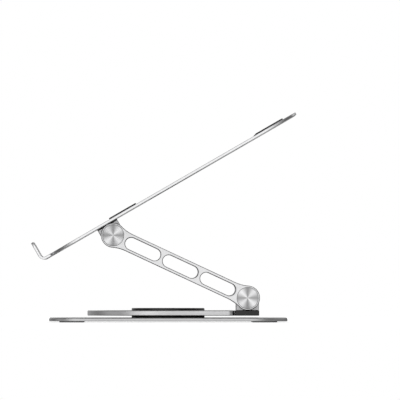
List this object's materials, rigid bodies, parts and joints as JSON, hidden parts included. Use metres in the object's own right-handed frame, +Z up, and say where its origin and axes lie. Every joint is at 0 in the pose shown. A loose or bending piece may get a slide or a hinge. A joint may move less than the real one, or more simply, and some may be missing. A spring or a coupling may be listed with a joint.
{
  "type": "laptop stand",
  "caption": "Folding laptop stand: hooked tray on two slotted side arms that fold over a square swivelling base, with stiff friction hinges.",
  "frame": {"origin": "on the desk, at the middle of the object's box in X and Y with the stand in its rest pose", "axes": "+X to the right of a user at the hooked front edge, +Y away from the user, +Z up"},
  "size_m": [0.25, 0.2387, 0.189],
  "materials": {
    "aluminium_satin": "fine bead-blasted, clear anodised",
    "aluminium_arm": "fine bead-blasted, with bright chamfers",
    "aluminium_brushed": "turned, with concentric grain",
    "steel": "zinc plated",
    "plastic_black": "satin moulded",
    "silicone_black": "matte silicone"
  },
  "bodies": {
    "base": {"base_plate": "aluminium_satin", "foot_pad_front_left": "silicone_black", "foot_pad_front_right": "silicone_black", "foot_pad_rear_left": "silicone_black", "foot_pad_rear_right": "silicone_black", "slide_ring": "plastic_black", "slide_washer": "plastic_black", "swivel_lock_nut": "steel", "swivel_post": "steel", "swivel_spring_washer": "steel"},
    "turntable": {"base_bracket_left": "aluminium_satin", "base_bracket_right": "aluminium_satin", "base_screws_left": "steel", "base_screws_right": "steel", "hinge_foot_left": "plastic_black", "hinge_foot_right": "plastic_black", "lower_hinge_shaft_left": "steel", "lower_hinge_shaft_right": "steel", "lower_inner_washer_left": "plastic_black", "lower_inner_washer_right": "plastic_black", "lower_nut_left": "steel", "lower_nut_right": "steel", "lower_outer_washer_left": "plastic_black", "lower_outer_washer_right": "plastic_black", "lower_spring_washer_left": "steel", "lower_spring_washer_right": "steel", "swivel_plate": "aluminium_satin", "top_cap": "plastic_black"},
    "arms": {"arm_left": "aluminium_arm", "arm_right": "aluminium_arm", "lower_cap_left": "aluminium_brushed", "lower_cap_right": "aluminium_brushed", "upper_cap_left": "aluminium_brushed", "upper_cap_right": "aluminium_brushed"},
    "tray": {"tray": "aluminium_satin", "tray_bracket_left": "aluminium_satin", "tray_bracket_right": "aluminium_satin", "tray_pad_front_left": "silicone_black", "tray_pad_front_right": "silicone_black", "tray_pad_rear_left": "silicone_black", "tray_pad_rear_right": "silicone_black", "tray_screws_left": "steel", "tray_screws_right": "steel", "tray_shim_left": "plastic_black", "tray_shim_right": "plastic_black", "upper_hinge_shaft_left": "steel", "upper_hinge_shaft_right": "steel", "upper_inner_washer_left": "plastic_black", "upper_inner_washer_right": "plastic_black", "upper_nut_left": "steel", "upper_nut_right": "steel", "upper_outer_washer_left": "plastic_black", "upper_outer_washer_right": "plastic_black", "upper_spring_washer_left": "steel", "upper_spring_washer_right": "steel"}
  },
  "joints": [
    {"name": "swivel", "type": "hinge", "parent": "base", "child": "turntable", "pos_m": [0, 0.0041, 0.006], "axis": [0, 0, 1], "continuous": true},
    {"name": "arm_lift", "type": "hinge", "parent": "turntable", "child": "arms", "pos_m": [0, 0.0757, 0.022], "axis": [1, 0, 0], "range_deg": [-155, 16]},
    {"name": "tray_tilt", "type": "hinge", "parent": "arms", "child": "tray", "pos_m": [0, -0.04556, 0.07855], "axis": [1, 0, 0], "range_deg": [-47, 128]}
  ]
}
